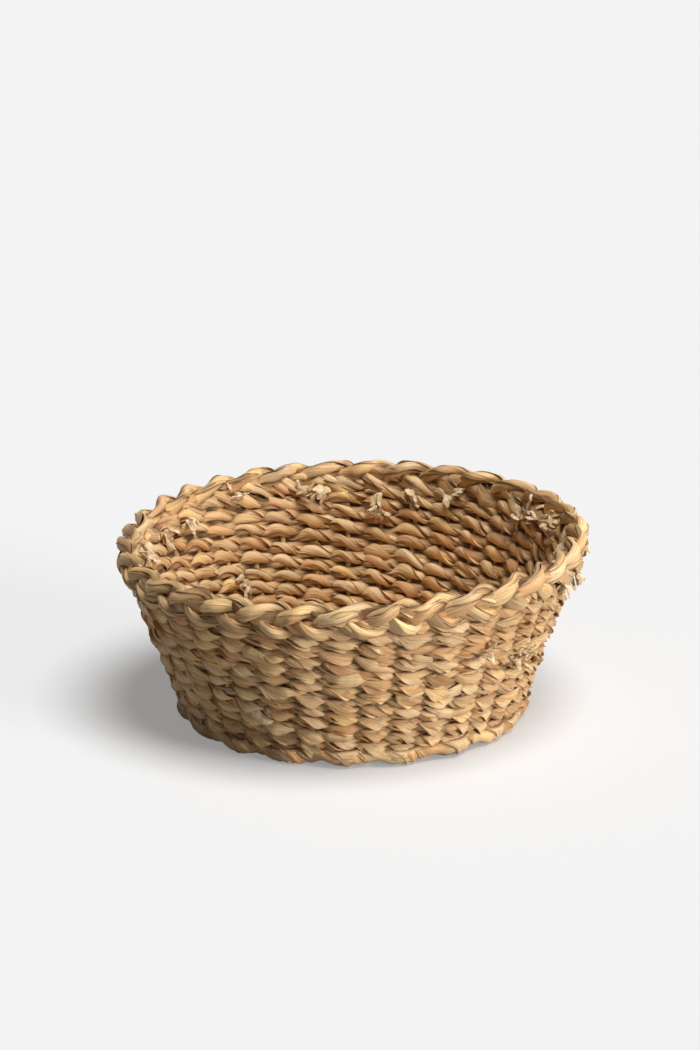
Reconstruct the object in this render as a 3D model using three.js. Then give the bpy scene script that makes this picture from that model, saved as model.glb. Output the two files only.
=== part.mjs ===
// A round, tapered basket woven of leaf cord, in millimetres, standing on z = 0 with +Z up.
//
// Spokes cross in a plain-woven mat in the middle of the base, fan out, turn up at the foot and become the
// stakes of the wall. Weavers run round in a spiral, in front of one stake and behind the next. The number of
// stakes is odd, so each turn swaps sides with the turn below it. A three-strand plait closes the rim.

import * as THREE from 'three';

// Overall sizes
const rimDiameter = 300; // outside of the rim plait
const basketHeight = 120;
const baseDiameter = 214; // outside of the foot, where it stands

// Stakes
const spokesEachWay = 9;
const stakeDiameter = 3.2;
const stakeSides = 5;
const bendRadius = 8; // of the turn from the base to the wall
const bendSteps = 3;
const matPitch = 8; // between spokes that run side by side in the mat
const fanRoom = 5; // from the mat's corners to where the spokes run radially

// Weavers
const wallLeafThickness = 2.8;
const wallRoundHeight = 4.6;
const turnsPerWallWeaver = 3;
const baseLeafThickness = 1.6;
const baseRoundWidth = 7;
const turnsPerBaseWeaver = 2;

// Foot
const footWidth = 8; // of the flat underside
const baseLift = 0.5; // from the surface that the foot stands on to the base's underside

// Rim plait
const plaitHeight = 24; // along the wall
const plaitDepth = 15; // across the wall
const plaitPeriods = 11;
const plaitSteps = 12;
const strandCount = 3;
const strandSides = 5;
const strandHeightShare = 0.35; // of the plait's height, covered by one strand
const strandDepthShare = 0.385; // of the plait's depth, filled by one strand

const clearance = 0.3; // between pieces that touch

const fullTurn = 2 * Math.PI;
const stakeCount = 4 * spokesEachWay + 1;
const stakePitch = fullTurn / stakeCount;
const stakeRadius = stakeDiameter / 2;
const up = new THREE.Vector3(0, 0, 1);

/** The point at a distance from the basket's axis, at an angle round it and at a height. */
function polar(radius, angle, height) {
  return new THREE.Vector3(radius * Math.cos(angle), radius * Math.sin(angle), height);
}

/** The direction away from the basket's axis at an angle. */
function outward(angle) {
  return polar(1, angle, 0);
}

/**
 * The angle of a numbered stake. The numbers run through the four groups of spoke ends and end with the added
 * stake, whose room is shared so that each group stays near the middle of its side.
 */
function stakeAngle(number) {
  return (number - (spokesEachWay - 1) / 2 + 3 / 8) * stakePitch;
}

/**
 * A closed solid through rings of equally many points, which turn anticlockwise about the way of travel.
 * An endless solid joins its last ring to its first, and any other has a flat cap at each end.
 */
function sweep(rings, endless) {
  const sides = rings[0].length;
  const triangles = [];
  const spans = endless ? rings.length : rings.length - 1;
  for (let i = 0; i < spans; i += 1) {
    const near = i * sides;
    const far = ((i + 1) % rings.length) * sides;
    for (let j = 0; j < sides; j += 1) {
      const next = (j + 1) % sides;
      triangles.push(near + j, near + next, far + next);
      triangles.push(near + j, far + next, far + j);
    }
  }
  if (!endless) {
    const last = (rings.length - 1) * sides;
    for (let j = 1; j < sides - 1; j += 1) {
      triangles.push(0, j + 1, j);
      triangles.push(last, last + j, last + j + 1);
    }
  }
  const geometry = new THREE.BufferGeometry().setFromPoints(rings.flat());
  geometry.setIndex(triangles);
  geometry.computeVertexNormals();
  return geometry;
}

/**
 * How far a weaver's middle runs from the stakes' middle, so that it clears a stake while it crosses over
 * to the far side of the next one.
 */
function passingOffset(stakeHalf, thickness, radius) {
  const spacing = 2 * radius * Math.sin(stakePitch / 2);
  let offset = stakeHalf + clearance + thickness / 2;
  for (let pass = 0; pass < 20; pass += 1) {
    const slope = (2 * offset) / spacing + Math.tan(stakePitch / 2);
    offset = thickness / 2 + (stakeHalf + clearance) * Math.hypot(1, slope);
  }
  return offset;
}

// The mat of crossing spokes and the base round it
const crossingGap = stakeDiameter + clearance;
const matRise = crossingGap / Math.sqrt(4 - (8 * crossingGap ** 2) / matPitch ** 2);
const matHalf = ((spokesEachWay - 1) / 2) * matPitch;
const fanRadius = Math.SQRT2 * matHalf + fanRoom;
const fanOffset = passingOffset(stakeRadius, baseLeafThickness, fanRadius);
const baseHalf = Math.max(matRise + stakeRadius, fanOffset + baseLeafThickness / 2);
const baseMiddle = baseLift + baseHalf;

// The rim plait's flat strands swing along the wall and weave across it
const strandHalfHeight = (strandHeightShare * plaitHeight) / 2;
const strandHalfDepth = (strandDepthShare * plaitDepth) / 2;
const strandSwing = plaitHeight / 2 - strandHalfHeight;
const strandWeave = plaitDepth / 2 - strandHalfDepth;

/** Corners of a strand's section at a phase of the plait, along the wall and across it. */
function strandCorners(phase) {
  const corners = [];
  for (let i = 0; i < strandSides; i += 1) {
    const turn = Math.PI + (fullTurn * i) / strandSides;
    corners.push({
      along: strandSwing * Math.sin(phase) + (strandHalfHeight - clearance / 2) * Math.cos(turn),
      across: strandWeave * Math.sin(2 * phase) + (strandHalfDepth - clearance / 2) * Math.sin(turn),
    });
  }
  return corners;
}

/** How far the plait reaches out, up and down from its middle on a wall with a lean. */
function plaitReach(lean) {
  const reach = { out: 0, up: 0, down: 0 };
  for (let i = 0; i < plaitSteps; i += 1) {
    for (const corner of strandCorners((fullTurn * i) / plaitSteps)) {
      const out = corner.along * Math.sin(lean) + corner.across * Math.cos(lean);
      const rise = corner.along * Math.cos(lean) - corner.across * Math.sin(lean);
      reach.out = Math.max(reach.out, out);
      reach.up = Math.max(reach.up, rise);
      reach.down = Math.max(reach.down, -rise);
    }
  }
  return reach;
}

// The wall's lean from upright, which takes the stakes from the foot to the middle of the plait
const baseRadius = baseDiameter / 2;
const rimRadius = rimDiameter / 2;
let lean = Math.atan2(rimRadius - baseRadius, basketHeight);
let reach = plaitReach(lean);
let stakeFoot = baseRadius;
for (let pass = 0; pass < 20; pass += 1) {
  const stakeAcross = stakeRadius / Math.cos(lean);
  stakeFoot = baseRadius - passingOffset(stakeAcross, wallLeafThickness, baseRadius) - wallLeafThickness / 2;
  lean = Math.atan2(rimRadius - reach.out - stakeFoot, basketHeight - reach.up);
  reach = plaitReach(lean);
}
const stakeAcross = stakeRadius / Math.cos(lean);
const plaitMiddle = { radius: rimRadius - reach.out, height: basketHeight - reach.up };
const plaitUnderside = plaitMiddle.height - reach.down;

/** Radius of the stakes' middle at a height on the wall. */
function stakeLine(height) {
  return stakeFoot + height * Math.tan(lean);
}

// The turn from the base to the wall
const bendTurn = Math.PI / 2 - lean;
const bendStart = stakeLine(baseMiddle) - bendRadius * Math.tan(bendTurn / 2);
const bendCentre = { radius: bendStart, height: baseMiddle + bendRadius };
const bendEnd = bendCentre.height - bendRadius * Math.cos(bendTurn);
const stakeTop = plaitUnderside - clearance - stakeRadius * Math.sin(lean);

/** A point at a distance from the bend's centre, as far round as the stake has turned. */
function roundBend(distance, turned) {
  return {
    radius: bendCentre.radius + distance * Math.sin(turned),
    height: bendCentre.height - distance * Math.cos(turned),
  };
}

/** A stake's section at a point of its way, square to a tangent that climbs along a level heading. */
function stakeRing(point, heading, tangent) {
  const side = new THREE.Vector3().crossVectors(heading, up).normalize();
  const top = new THREE.Vector3().crossVectors(side, tangent).normalize();
  const ring = [];
  for (let i = 0; i < stakeSides; i += 1) {
    const turn = (fullTurn * i) / stakeSides;
    const corner = point.clone();
    corner.addScaledVector(top, stakeRadius * Math.cos(turn));
    corner.addScaledVector(side, stakeRadius * Math.sin(turn));
    ring.push(corner);
  }
  return ring;
}

/** A stake's rings from the circle where it starts to run radially, over the bend, to its top. */
function stakeRings(number) {
  const angle = stakeAngle(number);
  const heading = outward(angle);
  const rings = [stakeRing(polar(fanRadius, angle, baseMiddle), heading, heading)];
  const climb = heading.clone();
  for (let i = 0; i <= bendSteps; i += 1) {
    const turned = (bendTurn * i) / bendSteps;
    const at = roundBend(bendRadius, turned);
    climb.copy(heading).multiplyScalar(Math.cos(turned)).addScaledVector(up, Math.sin(turned));
    rings.push(stakeRing(polar(at.radius, angle, at.height), heading, climb));
  }
  rings.push(stakeRing(polar(stakeLine(stakeTop), angle, stakeTop), heading, climb));
  return rings;
}

/** The same rings from the top down, turned about so that they lead towards the middle. */
function stakeRingsDown(number) {
  return stakeRings(number).reverse().map((ring) => [ring[0], ...ring.slice(1).reverse()]);
}

/**
 * A spoke through the mat and up the wall at both ends. Its place counts from the right side of its way, and
 * its first crossing is an over where place and lift are both even.
 */
function spoke(heading, place, firstStake, lastStake, lift) {
  const left = new THREE.Vector3().crossVectors(up, heading);
  const crossings = [];
  for (let i = 0; i < spokesEachWay; i += 1) {
    const along = i * matPitch - matHalf;
    const over = (i + place + lift) % 2 === 0 ? 1 : -1;
    const point = new THREE.Vector3(0, 0, baseMiddle + over * matRise);
    point.addScaledVector(heading, along);
    point.addScaledVector(left, place * matPitch - matHalf);
    crossings.push(stakeRing(point, heading, heading));
  }
  return sweep([...stakeRingsDown(firstStake), ...crossings, ...stakeRings(lastStake)], false);
}

/** Rings of a weaver from one place on its way to another, with corners given at each whole stake. */
function weaverRings(cornersAt, from, to) {
  const places = [from];
  for (let stake = Math.floor(from) + 1; stake < to; stake += 1) {
    places.push(stake);
  }
  places.push(to);
  return places.map((place) => {
    const near = cornersAt(Math.floor(place));
    const far = cornersAt(Math.floor(place) + 1);
    return near.map((corner, i) => corner.lerp(far[i], place - Math.floor(place)));
  });
}

/** Weavers that follow each other along a spiral, cut midway between two stakes. */
function weavers(cornersAt, turns, turnsEach) {
  const count = Math.ceil(turns / turnsEach);
  const solids = [];
  for (let i = 0; i < count; i += 1) {
    const startCut = i * turnsEach * stakeCount + 1 / 2;
    const endCut = Math.min(startCut + turnsEach * stakeCount, turns * stakeCount + 1 / 2);
    const spacing = cornersAt(Math.floor(startCut))[0].distanceTo(cornersAt(Math.floor(startCut) + 1)[0]);
    const gap = clearance / 2 / spacing;
    solids.push(sweep(weaverRings(cornersAt, startCut + gap, endCut - gap), false));
  }
  return solids;
}

// Rounds of the wall, from the foot to the plait
const wallStart = bendEnd + clearance;
const wallSpan = plaitUnderside - wallStart;
const wallRounds = Math.round(wallSpan / wallRoundHeight);
const wallPitch = wallSpan / wallRounds;

/** Corners of a wall weaver's section at a whole stake, outside even stakes and inside odd ones. */
function wallCorners(stake) {
  const bottom = wallStart + (wallPitch * stake) / stakeCount;
  const top = bottom + wallPitch - clearance;
  const side = stake % 2 === 0 ? 1 : -1;
  const middle = side * passingOffset(stakeAcross, wallLeafThickness, stakeLine(bottom));
  const inner = middle - wallLeafThickness / 2;
  const outer = middle + wallLeafThickness / 2;
  const angle = stakeAngle(stake);
  return [
    polar(stakeLine(top) + inner, angle, top),
    polar(stakeLine(top) + outer, angle, top),
    polar(stakeLine(bottom) + outer, angle, bottom),
    polar(stakeLine(bottom) + inner, angle, bottom),
  ];
}

// Rounds of the base, from the fan of the spokes to the bend
const baseSpan = Math.min(bendStart, baseRadius - footWidth - clearance) - fanRadius;
const baseRounds = Math.round(baseSpan / baseRoundWidth);
const basePitch = baseSpan / baseRounds;

/** Corners of a base weaver's section at a whole stake, over even stakes and under odd ones. */
function baseCorners(stake) {
  const inner = fanRadius + (basePitch * stake) / stakeCount;
  const outer = inner + basePitch - clearance;
  const side = stake % 2 === 0 ? 1 : -1;
  const middle = baseMiddle + side * passingOffset(stakeRadius, baseLeafThickness, inner);
  const top = middle + baseLeafThickness / 2;
  const bottom = middle - baseLeafThickness / 2;
  const angle = stakeAngle(stake);
  return [polar(inner, angle, top), polar(outer, angle, top), polar(outer, angle, bottom),
    polar(inner, angle, bottom)];
}

/** The foot, a ring outside the bend of the stakes with a flat underside. */
function footRound() {
  const inside = baseRadius - footWidth;
  const facet = bendTurn / bendSteps / 2;
  const distance = (bendRadius + stakeRadius + clearance) / Math.cos(facet);
  const firstTurn = Math.asin((inside - bendCentre.radius) / distance);
  const outline = [{ radius: inside, height: 0 }];
  for (let i = 0; i <= bendSteps; i += 1) {
    outline.push(roundBend(distance, firstTurn + ((bendTurn - firstTurn) * i) / bendSteps));
  }
  outline.push({ radius: stakeLine(bendEnd) + stakeAcross + clearance / Math.cos(lean), height: bendEnd });
  outline.push({ radius: baseRadius + bendEnd * Math.tan(lean), height: bendEnd });
  outline.push({ radius: baseRadius, height: 0 });
  const rings = [];
  for (let stake = 0; stake < stakeCount; stake += 1) {
    const angle = stakeAngle(stake);
    rings.push(outline.map((corner) => polar(corner.radius, angle, corner.height)));
  }
  return sweep(rings, true);
}

/** One strand of the plait, endless round the rim. */
function plaitStrand(number) {
  const steps = plaitPeriods * plaitSteps;
  const rings = [];
  for (let i = 0; i < steps; i += 1) {
    const angle = (fullTurn * i) / steps;
    const phase = plaitPeriods * angle + (fullTurn * number) / strandCount;
    rings.push(strandCorners(phase).map((corner) => polar(
      plaitMiddle.radius + corner.along * Math.sin(lean) + corner.across * Math.cos(lean),
      angle,
      plaitMiddle.height + corner.along * Math.cos(lean) - corner.across * Math.sin(lean),
    )));
  }
  return sweep(rings, true);
}

const basket = new THREE.Group();

/** Adds a named piece in its own colour. */
function add(name, geometry, color, roughness) {
  const piece = new THREE.Mesh(geometry, new THREE.MeshStandardMaterial({ color, roughness, metalness: 0 }));
  piece.name = name;
  basket.add(piece);
}

const alongX = new THREE.Vector3(1, 0, 0);
const alongY = new THREE.Vector3(0, 1, 0);
for (let place = 0; place < spokesEachWay; place += 1) {
  const across = spoke(alongX, place, 3 * spokesEachWay - 1 - place, place, 0);
  const along = spoke(alongY, place, 4 * spokesEachWay - 1 - place, spokesEachWay + place, spokesEachWay % 2);
  add(`cross_spoke_${place + 1}`, across, 0xc6a26c, 0.75);
  add(`long_spoke_${place + 1}`, along, 0xbd965f, 0.75);
}
add('added_stake', sweep(stakeRings(stakeCount - 1), false), 0xc6a26c, 0.75);

weavers(baseCorners, baseRounds - 1, turnsPerBaseWeaver).forEach((solid, i) => {
  add(`base_weaver_${i + 1}`, solid, 0xb48a58, 0.7);
});
add('foot_round', footRound(), 0xa88255, 0.7);
weavers(wallCorners, wallRounds - 1, turnsPerWallWeaver).forEach((solid, i) => {
  add(`wall_weaver_${i + 1}`, solid, i % 2 === 0 ? 0xcdac7c : 0xc3a070, 0.65);
});
for (let strand = 0; strand < strandCount; strand += 1) {
  add(`rim_strand_${strand + 1}`, plaitStrand(strand), 0xd0ae7a, 0.65);
}

export default basket;
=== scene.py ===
"""Dresses the solids of a woven basket in leaf: twisted cords, stakes, a plaited rim and frayed ends.

Everything is in metres. All the pieces follow one line, the middle of the stakes, which runs out over
the base, round the bend at the foot and up the wall. A level is a length along that line, out is a
distance from it towards the basket's outside, and a way round the basket is counted in stakes.
"""

from __future__ import annotations

import logging
import math
import random
from dataclasses import dataclass
from enum import Enum

import bpy
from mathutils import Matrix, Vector


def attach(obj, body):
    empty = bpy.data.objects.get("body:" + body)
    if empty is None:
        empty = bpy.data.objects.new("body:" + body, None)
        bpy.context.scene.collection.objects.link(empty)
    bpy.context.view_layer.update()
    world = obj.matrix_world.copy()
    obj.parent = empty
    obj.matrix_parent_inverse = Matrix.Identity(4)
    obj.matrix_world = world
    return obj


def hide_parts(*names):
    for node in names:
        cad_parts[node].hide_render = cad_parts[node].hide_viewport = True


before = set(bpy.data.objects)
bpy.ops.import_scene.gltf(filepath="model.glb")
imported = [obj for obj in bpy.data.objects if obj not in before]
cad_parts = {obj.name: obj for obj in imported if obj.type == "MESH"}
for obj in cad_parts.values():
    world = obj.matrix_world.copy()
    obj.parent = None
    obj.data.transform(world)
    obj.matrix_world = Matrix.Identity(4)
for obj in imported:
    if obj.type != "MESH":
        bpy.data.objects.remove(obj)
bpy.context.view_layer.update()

MM = 0.001
BODY = "root"
GRAIN = "leaf_grain"  # along the leaf and across it in metres, and a number for each leaf
TONE = "leaf_tone"  # colour, lightness, and how far out of the painted shade (from the distance from the stakes' line and the leaf's edges), each from 0 to 1

log = logging.getLogger("basket")


class Slot(Enum):
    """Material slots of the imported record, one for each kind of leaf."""

    STAKE = "stake_leaf"
    WALL = "weaver_leaf"
    BASE = "base_leaf"
    RIM = "rim_leaf"


class Field:
    """A node socket that takes part in Python sums, each of which adds a Math node."""

    def __init__(self, graph: Graph, socket: bpy.types.NodeSocket) -> None:
        """Keeps the socket and the graph that new nodes go into."""
        self.graph = graph
        self.socket = socket

    def _math(self, operation: str, *values: Field | float) -> Field:
        """Adds one Math node on the given values."""
        return self.graph.node("ShaderNodeMath", {"operation": operation}, dict(enumerate(values)))

    def __add__(self, other: Field | float) -> Field:
        """Sum."""
        return self._math("ADD", self, other)

    def __sub__(self, other: Field | float) -> Field:
        """Difference."""
        return self._math("SUBTRACT", self, other)

    def __rsub__(self, other: float) -> Field:
        """Difference from a plain number."""
        return self._math("SUBTRACT", other, self)

    def __mul__(self, other: Field | float) -> Field:
        """Product."""
        return self._math("MULTIPLY", self, other)

    def __truediv__(self, other: Field | float) -> Field:
        """Quotient."""
        return self._math("DIVIDE", self, other)

    def __pow__(self, other: Field | float) -> Field:
        """Power."""
        return self._math("POWER", self, other)

    __radd__ = __add__
    __rmul__ = __mul__

    def sin(self) -> Field:
        """Sine of an angle in radians."""
        return self._math("SINE", self)

    def cos(self) -> Field:
        """Cosine of an angle in radians."""
        return self._math("COSINE", self)

    def floor(self) -> Field:
        """The whole number below."""
        return self._math("FLOOR", self)

    def size(self) -> Field:
        """The value without its sign."""
        return self._math("ABSOLUTE", self)

    def at_least(self, other: Field | float) -> Field:
        """The larger of two values."""
        return self._math("MAXIMUM", self, other)

    def at_most(self, other: Field | float) -> Field:
        """The smaller of two values."""
        return self._math("MINIMUM", self, other)

    def within(self, low: float = 0.0, high: float = 1.0) -> Field:
        """The value held between two limits."""
        return self.at_least(low).at_most(high)

    def ease(self) -> Field:
        """A smooth step from 0 to 1 over the same span."""
        held = self.within()
        return held * held * (3.0 - held * 2.0)


class Graph:
    """Adds and links the nodes of one tree."""

    def __init__(self, tree: bpy.types.NodeTree) -> None:
        """Keeps the tree."""
        self.tree = tree

    def node(
        self,
        kind: str,
        settings: dict[str, object] | None = None,
        inputs: dict[str | int, object] | None = None,
        output: str | int = 0,
    ) -> Field:
        """Adds a node.

        Args:
            kind: the node's type.
            settings: its properties, and "stops" for a colour ramp's places and colours.
            inputs: values or fields by the socket's name or number.
            output: the socket to return.

        Returns:
            The chosen output.
        """
        made = self.tree.nodes.new(kind)
        for name, value in (settings or {}).items():
            if name == "stops":
                self._set_stops(made.color_ramp, value)
            else:
                setattr(made, name, value)
        for name, value in (inputs or {}).items():
            socket = made.inputs[name]
            if isinstance(value, Field):
                self.tree.links.new(value.socket, socket)
            else:
                socket.default_value = value
        return Field(self, made.outputs[output])

    @staticmethod
    def _set_stops(ramp: bpy.types.ColorRamp, stops: list[tuple[float, tuple[float, ...]]]) -> None:
        """Gives a ramp its places and colours.

        Args:
            ramp: the colour ramp.
            stops: a place from 0 to 1 and a colour for each stop.
        """
        while len(ramp.elements) < len(stops):
            ramp.elements.new(1.0)
        for element, (place, colour) in zip(ramp.elements, stops):
            element.position = place
            element.color = (*colour, 1.0)

    def end(self, kind: str, value: Field) -> None:
        """Adds the tree's output node and links the value to its first socket."""
        ending = self.tree.nodes.new(kind)
        self.tree.links.new(value.socket, ending.inputs[0])

    def vector(self, x: Field | float, y: Field | float, z: Field | float) -> Field:
        """A vector from three values."""
        return self.node("ShaderNodeCombineXYZ", {}, {0: x, 1: y, 2: z})

    def split(self, value: Field) -> tuple[Field, Field, Field]:
        """Takes a vector apart.

        Args:
            value: the vector.

        Returns:
            Its three values.
        """
        first = self.node("ShaderNodeSeparateXYZ", {}, {0: value})
        rest = first.socket.node.outputs
        return first, Field(self, rest[1]), Field(self, rest[2])

    def vectors(self, operation: str, a: Field, b: Field | tuple[float, ...] = (0, 0, 0)) -> Field:
        """One Vector Math node on two vectors."""
        return self.node("ShaderNodeVectorMath", {"operation": operation}, {0: a, 1: b})

    def scaled(self, value: Field, factor: Field | float) -> Field:
        """A vector made longer or shorter."""
        return self.node("ShaderNodeVectorMath", {"operation": "SCALE"}, {0: value, "Scale": factor})

    def blend(self, share: Field | float, a: Field | float, b: Field | float) -> Field:
        """The value between a and b at a share."""
        return a + (b - a) * share

    def noise(self, place: Field) -> Field:
        """Smooth noise from about -1 to 1 along a line, which changes about once a unit."""
        inputs = {"W": place, "Scale": 1.0, "Detail": 1.0}
        return self.node("ShaderNodeTexNoise", {"noise_dimensions": "1D"}, inputs) * 2.0 - 1.0

    def cloud(self, place: Field, detail: float, output: str | int = 0) -> Field:
        """Smooth noise from 0 to 1 in space, which changes about once a unit."""
        inputs = {"Vector": place, "Scale": 1.0, "Detail": detail}
        return self.node("ShaderNodeTexNoise", {}, inputs, output)

    def chance(self, first: Field, second: Field | float) -> Field:
        """A random value from 0 to 1 for each pair of numbers."""
        pair = self.vector(first, second, 0.0)
        return self.node("ShaderNodeTexWhiteNoise", {"noise_dimensions": "2D"}, {"Vector": pair})


class LeafTree(Graph):
    """A Geometry Nodes tree that adds leaf to the mesh it is given."""

    def __init__(self, name: str) -> None:
        """Starts the tree with its mesh input and output.

        Args:
            name: what the tree is called.
        """
        tree = bpy.data.node_groups.new(name, "GeometryNodeTree")
        super().__init__(tree)
        self._entry = tree.nodes.new("NodeGroupInput")
        tree.interface.new_socket("Mesh", in_out="INPUT", socket_type="NodeSocketGeometry")
        tree.interface.new_socket("Mesh", in_out="OUTPUT", socket_type="NodeSocketGeometry")

    def entry(self, name: str) -> Field:
        """One of the tree's inputs by name."""
        return Field(self, self._entry.outputs[name])

    def _add_entry(self, name: str, kind: str, value: float | None = None) -> Field:
        """Adds an input to the tree.

        Args:
            name: what the input is called.
            kind: its type.
            value: what it is where a layer doesn't set it.

        Returns:
            The new input.
        """
        socket = self.tree.interface.new_socket(name, in_out="INPUT", socket_type=kind)
        if value is not None:
            socket.default_value = value
        return self.entry(name)

    def number(self, name: str, value: float) -> Field:
        """Adds a number to the tree's inputs."""
        return self._add_entry(name, "NodeSocketFloat", value)

    def count(self, name: str, value: int) -> Field:
        """Adds a whole number to the tree's inputs."""
        return self._add_entry(name, "NodeSocketInt", value)

    def material(self) -> Field:
        """Adds the material to the tree's inputs."""
        return self._add_entry("Material", "NodeSocketMaterial")

    def sheet(self, rings: Field, sides: Field) -> tuple[Field, Field, Field]:
        """A flat grid to be bent into a leaf.

        Args:
            rings: points along the leaf.
            sides: points round its section, the first and last at one place.

        Returns:
            The grid, the share of the way along it, and the angle round the section from -pi to pi.
        """
        inputs = {"Size X": 1.0, "Size Y": 1.0, "Vertices X": rings, "Vertices Y": sides}
        grid = self.node("GeometryNodeMeshGrid", {}, inputs)
        x, y, _ = self.split(self.node("GeometryNodeInputPosition"))
        return grid, x + 0.5, y * math.tau

    @staticmethod
    def taper(travel: Field, steepness: float) -> Field:
        """Rises from 0 at both ends of a stake or strand to 1, in a rounded way."""
        return (travel.at_most(1.0 - travel) * steepness).within() ** 0.5

    @staticmethod
    def outlined(edge: Field, painted_shade: float) -> Field:
        """1 over a leaf's face, and less by the painted shade along its two edges."""
        return 1.0 - edge ** 8.0 * painted_shade

    def mark(self, mesh: Field, grain: Field, tone: Field) -> Field:
        """Stores what the material reads.

        Args:
            mesh: the mesh to store it on.
            grain: the value of the grain attribute.
            tone: the value of the tone attribute.

        Returns:
            The mesh with both attributes.
        """
        for name, value in ((GRAIN, grain), (TONE, tone)):
            inputs = {"Geometry": mesh, "Name": name, "Value": value}
            mesh = self.node("GeometryNodeStoreNamedAttribute", {"data_type": "FLOAT_VECTOR"}, inputs)
        return mesh

    def bend(self, grid: Field, position: Field, grain: Field, tone: Field) -> Field:
        """Stores what the material reads, moves the grid's points and closes the seam and ends.

        Args:
            grid: the flat grid.
            position: where each point goes.
            grain: the value of the grain attribute.
            tone: the value of the tone attribute.

        Returns:
            The closed leaf.
        """
        leaf = self.mark(grid, grain, tone)
        leaf = self.node("GeometryNodeSetPosition", {}, {"Geometry": leaf, "Position": position})
        leaf = self.node("GeometryNodeMergeByDistance", {}, {"Geometry": leaf, "Distance": 0.005 * MM})
        return self.node("GeometryNodeSetShadeSmooth", {}, {"Geometry": leaf})

    def close(self, made: Field, material: Field, keep_given: bool = True) -> None:
        """Makes a plain mesh with its material what the tree puts out.

        Args:
            made: the leaf or the strips.
            material: what they are made of.
            keep_given: whether the mesh that the tree was given comes out with them.
        """
        made = self.node("GeometryNodeRealizeInstances", {}, {"Geometry": made})
        made = self.node("GeometryNodeSetMaterial", {}, {"Geometry": made, "Material": material})
        if keep_given:
            joined = self.tree.nodes.new("GeometryNodeJoinGeometry")
            for part in (made, self.entry("Mesh")):
                self.tree.links.new(part.socket, joined.inputs[0])
            made = Field(self, joined.outputs[0])
        self.end("NodeGroupOutput", made)


@dataclass(frozen=True)
class WeaveLine:
    """The middle line of the stakes, the same at every stake, and the way round the basket."""

    stake_count: int = 37
    first_stake: float = -3.625  # place of stake 0 from +X, in stakes
    base_middle: float = 4.607 * MM
    bend_start: float = 98.032 * MM
    bend_radius: float = 8 * MM
    lean: float = math.radians(19.903)
    floor_gap: float = 0.2 * MM
    higher_right: float = 0.031  # of the height: this hand-made basket stands taller on one side
    higher_corners: float = -0.008

    @property
    def stake_pitch(self) -> float:
        """Angle between neighbouring stakes."""
        return math.tau / self.stake_count

    @property
    def bend_turn(self) -> float:
        """Angle that a stake turns through from the base to the wall."""
        return math.pi / 2 - self.lean

    @property
    def bend_end(self) -> float:
        """Level where the wall starts."""
        return self.bend_start + self.bend_radius * self.bend_turn

    def level_at(self, height: float) -> float:
        """Level of a height on the wall."""
        bend_top = self.base_middle + self.bend_radius * (1 - math.cos(self.bend_turn))
        return self.bend_end + (height - bend_top) / math.cos(self.lean)

    def angle(self, stake: float) -> float:
        """Angle round the basket of a place counted in stakes."""
        return (stake + self.first_stake) * self.stake_pitch

    def point(self, level: float, out: float, angle: float) -> Vector:
        """One point near the line.

        Args:
            level: how far along the line.
            out: how far outside it.
            angle: the way round the basket.

        Returns:
            The point.
        """
        turned = min(max((level - self.bend_start) / self.bend_radius, 0.0), self.bend_turn)
        wall = max(level - self.bend_end, 0.0)
        radius = min(level, self.bend_start) + (self.bend_radius + out) * math.sin(turned)
        radius += wall * math.cos(self.bend_turn)
        height = self.base_middle + self.bend_radius - (self.bend_radius + out) * math.cos(turned)
        height += wall * math.sin(self.bend_turn)
        height *= 1 + self.higher_right * math.cos(angle) + self.higher_corners * math.sin(2 * angle)
        return Vector((radius * math.cos(angle), radius * math.sin(angle), height))

    def place(self, graph: Graph, level: Field, out: Field, angle: Field) -> Field:
        """The same point in a node tree, pressed flat where it would pass the floor.

        Args:
            graph: the tree that the nodes go into.
            level: how far along the line.
            out: how far outside it.
            angle: the way round the basket.

        Returns:
            The point as a vector.
        """
        turned = ((level - self.bend_start) / self.bend_radius).within(0.0, self.bend_turn)
        wall = (level - self.bend_end).at_least(0.0)
        reach = out + self.bend_radius
        radius = level.at_most(self.bend_start) + reach * turned.sin() + wall * math.cos(self.bend_turn)
        rise = wall * math.sin(self.bend_turn) - reach * turned.cos()
        uneven = 1.0 + angle.cos() * self.higher_right + (angle * 2.0).sin() * self.higher_corners
        height = ((rise + (self.base_middle + self.bend_radius)) * uneven).at_least(self.floor_gap)
        return graph.vector(radius * angle.cos(), radius * angle.sin(), height)


def shader_graph(owner: bpy.types.Material | bpy.types.World) -> Graph:
    """Empties the node tree of a material or world.

    Args:
        owner: the material or world.

    Returns:
        A graph for its new nodes.
    """
    owner.use_nodes = True
    owner.node_tree.nodes.clear()
    return Graph(owner.node_tree)


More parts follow.
